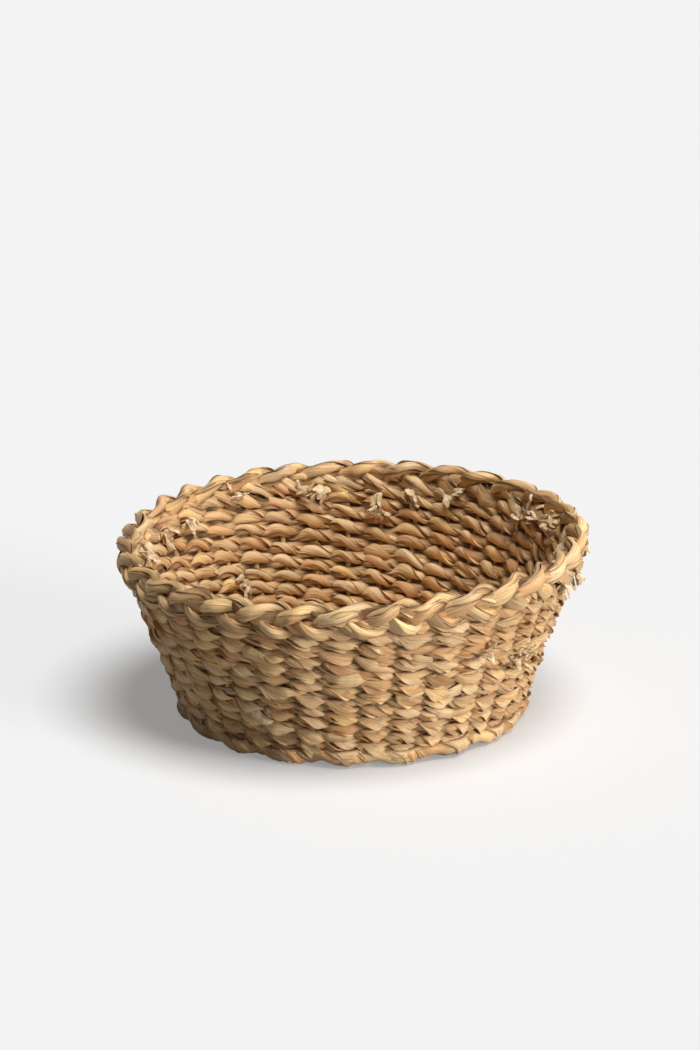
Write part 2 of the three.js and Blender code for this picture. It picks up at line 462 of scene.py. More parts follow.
@dataclass(frozen=True)
class LeafFinish:
    """Dried leaf: one colour for each leaf, fine streaks along it and painted shade in the gaps of the
    weave.
    """

    name: str
    lightness: float = 0.88
    lightness_range: float = 0.36  # from the darkest leaf to the lightest
    lightness_limit: float = 1.1
    roughness: float = 0.55
    roughness_range: float = 0.25
    specular: float = 0.25
    streak_width: float = 0.7 * MM
    streak_length: float = 14 * MM
    streak_depth: float = 0.32 * MM
    streak_contrast: float = 0.70
    blotch_length: float = 9 * MM
    blotch_width: float = 4.5 * MM
    blotch_contrast: float = 0.40
    crease_width: float = 2.6 * MM
    crease_length: float = 45 * MM
    crease_painted_shade: float = 0.22
    crease_sharpness: float = 22.0
    crease_depth: float = 1.5  # in depths of a streak
    bump_strength: float = 0.6
    painted_shade_share: float = 0.86  # share of the painted shade colour in the deepest gaps
    shades: tuple[tuple[float, tuple[float, float, float]], ...] = (
        (0.0, (0.480, 0.300, 0.140)),
        (0.2, (0.620, 0.330, 0.140)),
        (0.4, (0.700, 0.430, 0.205)),
        (0.6, (0.770, 0.525, 0.285)),
        (0.8, (0.820, 0.520, 0.220)),
        (1.0, (0.900, 0.710, 0.470)),
    )
    # painted shade: the dark brown that stands in for the shade in the weave's gaps and along leaf edges
    painted_shade: tuple[float, float, float] = (0.075, 0.024, 0.005)

    def material(self) -> bpy.types.Material:
        """Builds the material.

        Returns:
            A Principled material whose colour, roughness and bump follow the leaf's own attributes.
        """
        made = bpy.data.materials.new(self.name)
        graph = shader_graph(made)
        grain = graph.node("ShaderNodeAttribute", {"attribute_name": GRAIN}, output="Vector")
        tone = graph.node("ShaderNodeAttribute", {"attribute_name": TONE}, output="Vector")
        along, across, leaf = graph.split(grain)
        shade, light, reach = graph.split(tone)

        def pattern(length: float, width: float, step: float, detail: float) -> Field:
            """Noise of a length and a width on the leaf, read a step further on for each leaf."""
            place = graph.vector(along * (1 / length), across * (1 / width), leaf * step)
            return graph.cloud(place, detail)

        streak = pattern(self.streak_length, self.streak_width, 7.0, 4.0)
        blotch = pattern(self.blotch_length, self.blotch_width, 3.0, 2.0)
        fold = pattern(self.crease_length, self.crease_width, 11.0, 1.0)
        crease = (1.0 - (fold - 0.5).size() * self.crease_sharpness).within()

        lightness = light * self.lightness_range + self.lightness
        lightness = lightness + (streak - 0.5) * self.streak_contrast
        # Creases: real folds, cut in by the bump below, with painted shade darkening their colour.
        lightness = lightness + (blotch - 0.5) * self.blotch_contrast - crease * self.crease_painted_shade
        lightness = lightness.at_most(self.lightness_limit)
        colour = graph.node("ShaderNodeValToRGB", {"stops": list(self.shades)}, {0: shade})
        colour = graph.node("ShaderNodeHueSaturation", {}, {"Value": lightness, "Color": colour})
        # Painted shade: as the third tone value (reach) falls towards 0, the colour turns to the dark
        # brown painted shade.
        deep = (1.0 - reach).ease() * self.painted_shade_share
        inputs = {0: deep, 6: colour, 7: (*self.painted_shade, 1.0)}
        colour = graph.node("ShaderNodeMix", {"data_type": "RGBA"}, inputs, output=2)

        bump = graph.node("ShaderNodeBump", {}, {
            "Strength": self.bump_strength,
            "Distance": self.streak_depth,
            "Height": streak - crease * self.crease_depth,
        })
        surface = graph.node("ShaderNodeBsdfPrincipled", {}, {
            "Base Color": colour,
            "Roughness": self.roughness + (streak - 0.5) * self.roughness_range,
            "Specular IOR Level": self.specular,
            "Normal": bump,
        })
        graph.end("ShaderNodeOutputMaterial", surface)
        return made


def put(name: str, data: bpy.types.ID) -> bpy.types.Object:
    """Adds an object to the scene.

    Args:
        name: the object's name.
        data: its mesh, lamp or camera.

    Returns:
        The object, at the origin.
    """
    made = bpy.data.objects.new(name, data)
    bpy.context.scene.collection.objects.link(made)
    return made


def grow(
    name: str,
    tree: bpy.types.NodeTree,
    layers: list[dict[str, object]],
    start: bpy.types.Mesh | None = None,
) -> bpy.types.Object:
    """Makes a plain mesh object by running a tree once for each layer.

    Args:
        name: the object's name.
        tree: the Geometry Nodes tree.
        layers: the tree's inputs by name, one set for each run.
        start: what the first run is given, or nothing.

    Returns:
        The finished object, at the origin.
    """
    piece = put(name, start or bpy.data.meshes.new(name + "_start"))
    entries = [item for item in tree.interface.items_tree if item.in_out == "INPUT"]
    sockets = {entry.name: entry.identifier for entry in entries}
    for i, layer in enumerate(layers):
        modifier = piece.modifiers.new(f"leaf_{i}", "NODES")
        modifier.node_group = tree
        for key, value in layer.items():
            modifier[sockets[key]] = value
    depsgraph = bpy.context.evaluated_depsgraph_get()
    grown = bpy.data.meshes.new_from_object(piece.evaluated_get(depsgraph), depsgraph=depsgraph)
    piece.modifiers.clear()
    piece.data = grown
    grown.name = name
    return piece


def install(piece: bpy.types.Object, nodes: list[str]) -> None:
    """Puts a finished piece in the place of its solids and reports it.

    Args:
        piece: the piece's object.
        nodes: the solids that it replaces, if any.
    """
    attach(piece, BODY)
    if nodes:
        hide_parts(*nodes)
    log.info("%s: %d faces for %s", piece.name, len(piece.data.polygons), ", ".join(nodes) or "no solid")


def numbered(name: str, count: int) -> list[str]:
    """The names of solids that are counted from 1."""
    return [f"{name}_{i + 1}" for i in range(count)]


def both(name: str, value: float) -> dict[str, float]:
    """One size of a cord, the same where it runs outside a stake and inside it."""
    return {f"{name} Outside": value, f"{name} Inside": value}


@dataclass
class LeafPly:
    """One leaf of a cord, which twists round the other leaf while the cord passes the stakes."""

    line: WeaveLine
    stake_step: float = 20.5 * MM  # leaf from one stake to the next
    end_length: float = 0.7  # stakes over which an end thins out
    painted_shade_reach: float = 3.4 * MM  # distance from the stakes' line where no painted shade is left
    edge_painted_shade: float = 0.6
    shared_sway: float = 7.0 * MM  # up and down, together with the rows next to it
    sway_height: float = 22 * MM  # up the wall over which the shared sway changes
    sway_rate: float = 3.0  # its changes in a radian round the basket
    own_sway: float = 3.2 * MM  # up and down
    own_stray: float = 1.8 * MM  # in and out
    twist_change: float = 1.9  # in radians
    width_change: float = 0.75
    thickness_change: float = 0.4
    spread_change: float = 0.5
    fold_depth: float = 0.12  # of the thickness
    segment_share: float = 0.6  # of a segment's own draw in its colour, the rest drifts slowly

    def build(self) -> bpy.types.NodeTree:
        """Builds the tree.

        Returns:
            A tree whose inputs are the cord's route and the leaf's sizes.
        """
        tree = LeafTree("leaf_ply")
        rings = tree.count("Rings", 1000)
        sides = tree.count("Sides", 15)
        start = tree.number("Start", 0.5)
        end = tree.number("End", 111.5)
        level_start = tree.number("Level", self.line.bend_end)
        rise = tree.number("Rise", 0.1 * MM)
        out_middle = tree.number("Out", 0.2 * MM)
        swing = tree.number("Swing", 2.3 * MM)
        first_angle = tree.number("First Angle", 0.0)
        twist = tree.number("Twist", 1.0)
        twist_rest = tree.number("Twist Rest", 0.05)
        turn_shift = tree.number("Turn Shift", math.radians(22))
        pinch = tree.number("Pinch", 0.3)
        helix_out = tree.number("Helix Outside", 2.0 * MM)
        helix_in = tree.number("Helix Inside", 2.3 * MM)
        width_out = tree.number("Half Width Outside", 4.9 * MM)
        width_in = tree.number("Half Width Inside", 3.9 * MM)
        thick_out = tree.number("Half Thickness Outside", 1.1 * MM)
        thick_in = tree.number("Half Thickness Inside", 1.3 * MM)
        flat_out = tree.number("Flatness Outside", 0.78)
        flat_in = tree.number("Flatness Inside", 0.85)
        curl = tree.number("Curl", 0.36)
        dip = tree.number("Dip", 1.6 * MM)
        slant_out = tree.number("Slant Outside", 0.5 * MM)
        slant_in = tree.number("Slant Inside", 2.3 * MM)
        uneven = tree.number("Unevenness", 1.0)
        # Lit: a distance added to the reach from the stakes' line, which takes painted shade away
        lit = tree.number("Lit", 0.0)
        seed = tree.number("Seed", 0.0)
        material = tree.material()

        grid, travel, turn = tree.sheet(rings, sides)
        stake = start + (end - start) * travel
        shift = seed * 37.3  # so that each leaf reads the noise at another place

        def wander(rate: float, offset: float) -> Field:
            """Slow unevenness: its changes for each stake, and where in the noise it is read."""
            return tree.noise(stake * rate + shift + offset) * uneven

        # The cord's wave past the stakes stays outside or inside a little longer than a plain one.
        wave = (stake * math.pi).cos()
        side = wave * (1.45 - wave * wave * 0.45)
        outside = (wave * 0.5 + 0.5).ease()

        # The leaf's section, and the turn that it makes round the other leaf.
        rest = (stake * math.tau).sin() * twist_rest
        phase = first_angle - stake * twist * math.pi + rest + wave * turn_shift
        phase = phase + wander(0.6, 0.0) * self.twist_change
        taper = (travel.at_most(1.0 - travel) * (end - start) / self.end_length).within() ** 0.5
        full = (wave * wave - 1.0) * pinch + 1.0
        width = tree.blend(outside, width_in, width_out)
        width = width * (1.0 + wander(0.8, 11.0) * self.width_change) * full * taper
        thick = tree.blend(outside, thick_in, thick_out)
        thick = thick * (1.0 + wander(0.6, 23.0) * self.thickness_change) * taper
        spread = tree.blend(outside, helix_in, helix_out)
        spread = spread * (1.0 + wander(0.5, 41.0) * self.spread_change)
        face, edge = turn.cos(), turn.sin()
        across = width * edge
        fold = (turn * 3.0 + wander(0.3, 97.0) * 4.0).cos() * self.fold_depth + 1.0
        away = spread + thick * face * fold * (0.6 + face * face * 0.4) - width * edge * edge * curl
        flatness = tree.blend(outside, flat_in, flat_out)
        lean_out = (away * phase.cos() - across * phase.sin()) * flatness
        lean_up = away * phase.sin() + across * phase.cos()

        # Where the section lies on the basket.
        angle = (stake + self.line.first_stake) * self.line.stake_pitch
        middle = level_start + rise * stake
        around = tree.vector(
            angle.cos() * self.sway_rate, angle.sin() * self.sway_rate, middle * (1 / self.sway_height)
        )
        together = tree.cloud(around, 1.0) - 0.5
        out = out_middle + swing * side + lean_out + wander(0.8, 59.0) * self.own_stray
        slant = tree.blend(outside, slant_in, slant_out) * (stake * math.pi).sin()
        sway = together * self.shared_sway + wander(0.6, 73.0) * self.own_sway
        level = middle + lean_up - dip * outside - slant + sway
        position = self.line.place(tree, level, out, angle)

        grain = tree.vector(stake * self.stake_step, across, seed)
        segment = (phase / math.pi + 0.5).floor()
        drift = tree.noise(stake * 0.2 + shift) * 0.5 + 0.5
        # Painted shade: the leaf darkens where it lies close to the stakes' line, deep in the wall's
        # gaps, and along its edges.
        free_of_painted_shade = (((out - out_middle).size() + lit) / self.painted_shade_reach).within()
        tone = tree.vector(
            tree.chance(segment, seed) * self.segment_share + drift * (1 - self.segment_share),
            tree.chance(segment, seed + 0.5),
            free_of_painted_shade * tree.outlined(edge, self.edge_painted_shade),
        )
        tree.close(tree.bend(grid, position, grain, tone), material)
        return tree.tree


@dataclass
class Weavers:
    """Cords that follow each other along one spiral, each two leaves twisted round a plain one."""

    line: WeaveLine
    tree: bpy.types.NodeTree
    finish: bpy.types.Material
    slot: Slot
    names: list[str]
    turns: int
    turns_each: int
    first_level: float
    round_height: float
    sizes: dict[str, float]
    first_angle: float
    core: float  # half the height of the plain leaf inside the cord
    core_thickness: float = 0.55  # of its height
    core_swing: float = 0.4  # of its half height, out and in past the stakes
    overlap: float = 0.5  # stakes by which each cord runs past both its ends, where it thins out
    lead: float = 0.0  # stakes by which the first cord starts early
    lap: float = 0.0  # stakes by which the last cord runs on
    first_turn: int = 0
    has_solids: bool = True
    rings_per_stake: int = 14
    section_points: int = 17
    core_rings_per_stake: int = 6
    core_section_points: int = 9
    seed: int = 1

    def core_sizes(self) -> dict[str, float]:
        """Sizes of the plain leaf that fills the inside of a cord, with no twist of its own.

        Returns:
            The tree's inputs by name.
        """
        without = ("Twist", "Twist Rest", "Turn Shift", "Pinch", "Curl", "Dip")
        return {
            **dict.fromkeys(without, 0.0),
            **both("Slant", 0.0),
            **both("Helix", 0.0),
            **both("Half Width", self.core),
            **both("Half Thickness", self.core * self.core_thickness),
            **both("Flatness", 1.0),
            "Swing": self.core * self.core_swing,
            "Unevenness": 0.1,
        }

    def span(self, i: int) -> tuple[float, float]:
        """The places where a cord starts and ends, half-way between two stakes but for what runs over.

        Args:
            i: the cord's number, from 0.

        Returns:
            Both places in stakes.
        """
        stakes = self.line.stake_count
        start = (self.first_turn + i * self.turns_each) * stakes + 0.5 - self.overlap
        end = start + self.turns_each * stakes + 2 * self.overlap
        if i == 0:
            start -= self.lead
        if i == len(self.names) - 1:
            end = (self.first_turn + self.turns) * stakes + 0.5 + self.lap
        return start, end

    def build(self) -> None:
        """Builds each cord and puts it in its solid's place."""
        for i, name in enumerate(self.names):
            start, end = self.span(i)
            first_seed = float(self.seed + 2 * i)
            route = {
                "Start": start,
                "End": end,
                "Level": self.first_level,
                "Rise": self.round_height / self.line.stake_count,
                "Material": self.finish,
                **self.sizes,
            }
            layers = []
            for ply in range(2):
                layers.append({
                    **route,
                    "Rings": round((end - start) * self.rings_per_stake),
                    "Sides": self.section_points,
                    "First Angle": self.first_angle + math.pi * ply,
                    "Seed": first_seed + ply,
                })
            layers.append({
                **route,
                **self.core_sizes(),
                "Rings": round((end - start) * self.core_rings_per_stake),
                "Sides": self.core_section_points,
                "Seed": first_seed + 0.5,
            })
            piece = grow(f"{name}_leaf", self.tree, layers)
            install(piece, [name] if self.has_solids else [])


@dataclass
class RimPlait:
    """Three strands of leaves, plaited flat and rolled so that the plait faces up and out."""

    line: WeaveLine
    finish: bpy.types.Material
    radius: float = 141.3 * MM
    middle_height: float = 108.6 * MM
    middle_out: float = 0.5 * MM
    swing: float = 7.4 * MM
    weave: float = 4.0 * MM
    roll: float = math.radians(12)
    tilt: float = math.radians(30)  # of a strand's section, each way over one swing
    strands: int = 3
    periods: int = 11
    leaves: int = 3
    turns: float = 1.03  # round the basket, so that a strand's thin ends overlap
    lay: float = 0.55  # turns of a strand's leaves round each other in one period of the plait
    curl: float = 0.4
    phase_change: float = 0.25  # of the plait, in radians
    tilt_change: float = 0.4  # in radians
    width_change: float = 0.7
    thickness_change: float = 0.5
    ring_change: float = 0.5
    edge_painted_shade: float = 0.6
    rings: int = 1000
    section_points: int = 13
    seed: int = 131

    def tree(self) -> bpy.types.NodeTree:
        """Builds the tree of one leaf of a strand.

        Returns:
            A tree whose inputs are the strand's number and the leaf's place in the strand.
        """
        tree = LeafTree("plait_leaf")
        rings = tree.count("Rings", self.rings)
        sides = tree.count("Sides", self.section_points)
        strand = tree.number("Strand", 0.0)
        place = tree.number("Place", 0.0)
        ring = tree.number("Ring", 3.2 * MM)
        half_width = tree.number("Half Width", 4.6 * MM)
        half_thickness = tree.number("Half Thickness", 1.2 * MM)
        depth = tree.number("Depth", 0.72)
        seed = tree.number("Seed", 0.0)
        material = tree.material()

        grid, travel, turn = tree.sheet(rings, sides)
        angle = travel * (self.turns * math.tau)
        shift = seed * 29.7  # so that each leaf reads the noise at another place

        def wander(rate: float, offset: float) -> Field:
            """Slow unevenness: its changes for each radian, and where in the noise it is read."""
            return tree.noise(angle * rate + shift + offset)

        # The strand's way to and fro, and over and under the others.
        phase = angle * float(self.periods) + strand * (math.tau / self.strands)
        phase = phase + tree.noise(angle * 3.0) * self.phase_change
        swing = phase.sin()
        slope = phase.cos() * (self.swing * self.periods / self.radius)
        stretch = (slope * slope + 1.0) ** 0.5
        crossing = (phase * 2.0).sin()

        # The leaf's section, and its turn round the strand's middle.
        tilt = swing * self.tilt + wander(6.0, 7.0) * self.tilt_change
        lay = phase * self.lay + place + wander(4.0, 3.0)
        taper = tree.taper(travel, 60.0)
        width = half_width * (1.0 + wander(6.0, 13.0) * self.width_change) * taper
        thick = half_thickness * (1.0 + wander(6.0, 19.0) * self.thickness_change) * taper
        face, edge = turn.cos(), turn.sin()
        across_leaf = width * edge
        away = ring * (1.0 + wander(5.0, 43.0) * self.ring_change)
        away = away + thick * face * (0.6 + face * face * 0.4)
        away = away - width * edge * edge * self.curl
        broad = (away * lay.cos() - across_leaf * lay.sin()) * stretch
        deep = (away * lay.sin() + across_leaf * lay.cos()) * depth

        # Where the section lies on the basket.
        along = swing * self.swing + broad * tilt.cos() + deep * tilt.sin()
        across = crossing * self.weave + deep * tilt.cos() - broad * tilt.sin()
        level = along * math.cos(self.roll) + across * math.sin(self.roll)
        level = level + self.line.level_at(self.middle_height)
        out = across * math.cos(self.roll) - along * math.sin(self.roll) + self.middle_out
        position = self.line.place(tree, level, out, angle)

        segment = (lay / math.tau + phase / math.tau).floor()
        grain = tree.vector(angle * self.radius, across_leaf, seed)
        # Painted shade: darker where a leaf lies on the strand's inner side and where the strand passes
        # under the others, and along the edges.
        free_of_painted_shade = (away / ring * 0.4 + crossing * 0.3 + 0.45).within()
        tone = tree.vector(
            tree.chance(segment, seed) * 0.55 + 0.3,
            tree.chance(segment, seed + 0.5) * 0.8 + 0.2,
            free_of_painted_shade * tree.outlined(edge, self.edge_painted_shade),
        )
        tree.close(tree.bend(grid, position, grain, tone), material)
        return tree.tree

    def build(self) -> None:
        """Builds each strand from its leaves and puts it in its solid's place."""
        tree = self.tree()
        for strand, node in enumerate(numbered("rim_strand", self.strands)):
            layers = []
            for leaf in range(self.leaves):
                layers.append({
                    "Rings": self.rings,
                    "Sides": self.section_points,
                    "Strand": float(strand),
                    "Place": math.tau * leaf / self.leaves,
                    "Seed": float(self.seed + self.leaves * strand + leaf),
                    "Material": self.finish,
                })
            install(grow(f"{node}_leaf", tree, layers), [node])


@dataclass
class Stakes:
    """Spokes that cross in the mat of the base, fan out and turn up as the wall's stakes."""

    line: WeaveLine
    finish: bpy.types.Material
    each_way: int = 9
    mat_pitch: float = 8 * MM
    mat_rise: float = 1.5 * MM
    fan_radius: float = 50.25 * MM
    narrow_share: float = 0.3  # of the fan's radius over which a spoke narrows
    top_height: float = 99 * MM
    half_thickness: float = 1.7 * MM
    mat_half_width: float = 4.3 * MM
    mat_thinness: float = 0.62  # of the thickness where the spoke lies flat in the mat
    out_of_painted_shade: float = 0.85  # how far the stakes are out of the painted shade of the weave's gaps, 1 for none
    points_per_crossing: int = 4
    rise_points: int = 28
    rings_per_point: int = 3
    section_points: int = 11
    seed: int = 201

    def tree(self) -> bpy.types.NodeTree:
        """Builds the tree of one stake.

        Returns:
            A tree that sweeps a leaf, broad in the mat and round on the wall, along its given edges.
        """
        tree = LeafTree("stake_leaf")
        rings = tree.count("Rings", 200)
        sides = tree.count("Sides", self.section_points)
        seed = tree.number("Seed", 0.0)
        material = tree.material()
        grid, travel, turn = tree.sheet(rings, sides)

        path = tree.node("GeometryNodeMeshToCurve", {}, {"Mesh": tree.entry("Mesh")})
        inputs = {"Curves": path, "Factor": travel}
        sample = tree.node("GeometryNodeSampleCurve", {"mode": "FACTOR"}, inputs, output="Position")
        tangent = Field(tree, sample.socket.node.outputs["Tangent"])
        side = tree.vectors("NORMALIZE", tree.vectors("CROSS_PRODUCT", tangent, (0.0, 0.0, 1.0)))
        top = tree.vectors("CROSS_PRODUCT", side, tangent)

        x, y, _ = tree.split(sample)
        radius = (x * x + y * y) ** 0.5
        narrow = ((radius - self.fan_radius) / (self.fan_radius * self.narrow_share)).ease()
        taper = tree.taper(travel, 60.0)
        wobble = tree.noise(travel * 30.0 + seed * 17.1)
        width = tree.blend(narrow, self.mat_half_width, self.half_thickness) * (1.0 + wobble * 0.15)
        width = width * taper
        thick = tree.blend(narrow, self.half_thickness * self.mat_thinness, self.half_thickness) * taper
        sideways = tree.scaled(side, width * turn.sin())
        upward = tree.scaled(top, thick * turn.cos())
        position = tree.vectors("ADD", sample, tree.vectors("ADD", sideways, upward))

        grain = tree.vector(travel * 0.4, width * turn.sin(), seed)
        # The third value sets the stakes' light painted shade.
        tone = tree.vector(
            tree.chance(seed, 3.0) * 0.5 + 0.25 + tree.noise(travel * 9.0 + seed * 5.0) * 0.2,
            tree.chance(seed, 5.0) * 0.6 + 0.2,
            self.out_of_painted_shade,
        )
        tree.close(tree.bend(grid, position, grain, tone), material, keep_given=False)
        return tree.tree

    def rise(self, stake: int) -> list[Vector]:
        """Points of a stake from the fan circle, over the bend, to its top.

        Args:
            stake: the stake's number, from 0.

        Returns:
            The points in order.
        """
        angle = self.line.angle(stake)
        span = self.line.level_at(self.top_height) - self.fan_radius
        levels = [self.fan_radius + span * i / self.rise_points for i in range(self.rise_points + 1)]
        return [self.line.point(level, 0.0, angle) for level in levels]

    def mat(self, heading: Vector, place: int, lift: int) -> list[Vector]:
        """Points of a spoke through the mat, over one crossing spoke and under the next.

        Args:
            heading: the way the spoke runs.
            place: its number among the spokes that run this way.
            lift: 0 or 1, which sets whether it starts over or under.

        Returns:
            The points in order.
        """
        left = Vector((-heading.y, heading.x, 0.0))
        half = (self.each_way - 1) / 2
        points = []
        for i in range((self.each_way - 1) * self.points_per_crossing + 1):
            crossing = i / self.points_per_crossing
            wave = math.cos(math.pi * (crossing + place + lift))
            point = heading * ((crossing - half) * self.mat_pitch)
            point += left * ((place - half) * self.mat_pitch)
            point.z = self.line.base_middle + self.mat_rise * wave
            points.append(point)
        return points

    def piece(self, name: str, points: list[Vector], seed: int, tree: bpy.types.NodeTree) -> None:
        """Builds one stake along its points and puts it in its solid's place.

        Args:
            name: the solid's name.
            points: the stake's middle line.
            seed: a number that sets its colour and unevenness.
            tree: the tree of one stake.
        """
        path = bpy.data.meshes.new(name + "_path")
        path.from_pydata(points, [(i, i + 1) for i in range(len(points) - 1)], [])
        layer = {
            "Rings": len(points) * self.rings_per_point,
            "Sides": self.section_points,
            "Seed": float(seed),
            "Material": self.finish,
        }
        install(grow(f"{name}_leaf", tree, [layer], path), [name])

    def build(self) -> None:
        """Builds every spoke and the added stake."""
        tree = self.tree()
        each = self.each_way
        for place in range(each):
            across = list(reversed(self.rise(3 * each - 1 - place)))
            across += self.mat(Vector((1, 0, 0)), place, 0) + self.rise(place)
            self.piece(f"cross_spoke_{place + 1}", across, self.seed + place, tree)
            along = list(reversed(self.rise(4 * each - 1 - place)))
            along += self.mat(Vector((0, 1, 0)), place, each % 2) + self.rise(each + place)
            self.piece(f"long_spoke_{place + 1}", along, self.seed + each + place, tree)
        self.piece("added_stake", self.rise(self.line.stake_count - 1), self.seed + 2 * each, tree)


@dataclass
class FrayedEnds:
    """Leaf ends split into pale strips: tufts below the rim inside, and knots at splices."""

    line: WeaveLine
    finish: bpy.types.Material
    height: float = 101 * MM
    out: float = -5.0 * MM
    tufts: int = 26
    curl: float = 0.22
    crumple: float = 3.5 * MM
    crumple_rate: float = 160.0  # changes in a metre
    shade_rate: float = 350.0  # shades in a metre
    knots: tuple[tuple[float, float, float], ...] = (  # each one's angle, height and distance out
        (math.radians(81), 88 * MM, -5.5 * MM),
        (math.radians(-37), 64 * MM, 5.5 * MM),
        (math.radians(128), 52 * MM, -5.0 * MM),
        (math.radians(-52), 78 * MM, 5.0 * MM),
        (math.radians(-14), 102 * MM, 3.5 * MM),
        (math.radians(2), 106 * MM, 2.0 * MM),
        (math.radians(13), 103 * MM, -6.0 * MM),
        (math.radians(-24), 103 * MM, 4.0 * MM),
        (math.radians(-5), 96 * MM, 5.0 * MM),
        (math.radians(21), 108 * MM, -5.0 * MM),
    )
    seed: int = 5

    def tree(self) -> bpy.types.NodeTree:
        """Builds the tree that puts a strip on each point it is given.

        Returns:
            A tree that turns points with a way and a size into crumpled strips.
        """
        tree = LeafTree("frayed_ends")
        material = tree.material()
        grid, travel, turn = tree.sheet(tree.count("Rings", 9), tree.count("Sides", 9))
        curl = tree.number("Curl", self.curl)
        crumple = tree.number("Crumple", self.crumple)
        vectors = {"data_type": "FLOAT_VECTOR"}

        # One strip, a unit long, narrower towards its tip.
        ending = ((1.0 - travel) * 9.0).within() * (travel * 9.0).within()
        breadth = (1.0 - travel * 0.35) * ending ** 0.3
        y = turn.sin() * breadth * 0.5
        z = turn.cos() * breadth * 0.5
        bent = tree.vector(travel, y + travel * travel * curl, z)
        strip = tree.node("GeometryNodeSetPosition", {}, {"Geometry": grid, "Position": bent})
        strip = tree.node("GeometryNodeMergeByDistance", {}, {"Geometry": strip, "Distance": 0.001})

        # A strip on each point, then all of them crumpled together.
        way = tree.node("GeometryNodeInputNamedAttribute", vectors, {"Name": "way"})
        turned = tree.node("FunctionNodeAlignRotationToVector", {"axis": "X"}, {"Vector": way})
        placed = tree.node("GeometryNodeInstanceOnPoints", {}, {
            "Points": tree.entry("Mesh"),
            "Instance": strip,
            "Rotation": turned,
            "Scale": tree.node("GeometryNodeInputNamedAttribute", vectors, {"Name": "size"}),
        })
        placed = tree.node("GeometryNodeRealizeInstances", {}, {"Geometry": placed})
        place = tree.node("GeometryNodeInputPosition")
        wave = tree.cloud(tree.scaled(place, self.crumple_rate), 1.0, output="Color")
        drift = tree.scaled(tree.vectors("SUBTRACT", wave, (0.5, 0.5, 0.5)), crumple)
        placed = tree.node("GeometryNodeSetPosition", {}, {"Geometry": placed, "Offset": drift})

        x, y, z = tree.split(place)
        rate = self.shade_rate
        shade = tree.chance((x * rate).floor(), (y * rate).floor() + (z * rate).floor() * 7.0)
        grain = tree.vector(z, x + y, 3.0)
        tone = tree.vector(shade * 0.6 + 0.4, shade * 0.6 + 0.5, 1.0)
        tree.close(tree.mark(placed, grain, tone), material, keep_given=False)
        return tree.tree

    def build(self) -> None:
        """Scatters the tufts and builds their strips as one piece."""
        dice = random.Random(self.seed)
        roots = list(self.knots)
        for tuft in range(self.tufts):
            angle = math.tau * (tuft + dice.uniform(-0.4, 0.4)) / self.tufts
            roots.append((angle, self.height + dice.uniform(-3, 4) * MM, self.out))
        points, ways, sizes = [], [], []
        for angle, height, out in roots:
            root = self.line.point(self.line.level_at(height), out, angle)
            off_wall = Vector((-math.cos(angle), -math.sin(angle), 0.2)) * (0.3 if out < 0 else -0.3)
            sideways = Vector((-math.sin(angle), math.cos(angle), 0.0)) * dice.choice((-1, 1))
            droop = Vector((0, 0, dice.uniform(-0.9, 0.2)))
            lean = off_wall + sideways * dice.uniform(0.3, 1.0) + droop
            for _ in range(dice.randint(7, 13)):
                points.append(root + Vector([dice.gauss(0, 2.2) * MM for _ in range(3)]))
                ways.append((lean + Vector([dice.gauss(0, 0.45) for _ in range(3)])).normalized())
                length = dice.uniform(6, 12) * MM
                width = dice.uniform(3.0, 6.5) * MM
                sizes.append((length, width, dice.uniform(1.2, 2.4) * MM))
        mesh = bpy.data.meshes.new("frayed_points")
        mesh.from_pydata(points, [], [])
        for name, values in (("way", ways), ("size", sizes)):
            stored = mesh.attributes.new(name, "FLOAT_VECTOR", "POINT")
            stored.data.foreach_set("vector", [number for value in values for number in value])
        install(grow("frayed_ends", self.tree(), [{"Material": self.finish}], mesh), [])


@dataclass(frozen=True)
class LooseLeaf:
    """One leaf that lies on the outside of the wall."""

    angle: float
    height: float
    length: float
    half_width: float
    way: float  # the way it runs as seen from outside, from level to the right, turning up
    cut: float = 0.0  # 1 where its far end is cut square
    shade: float = 0.5


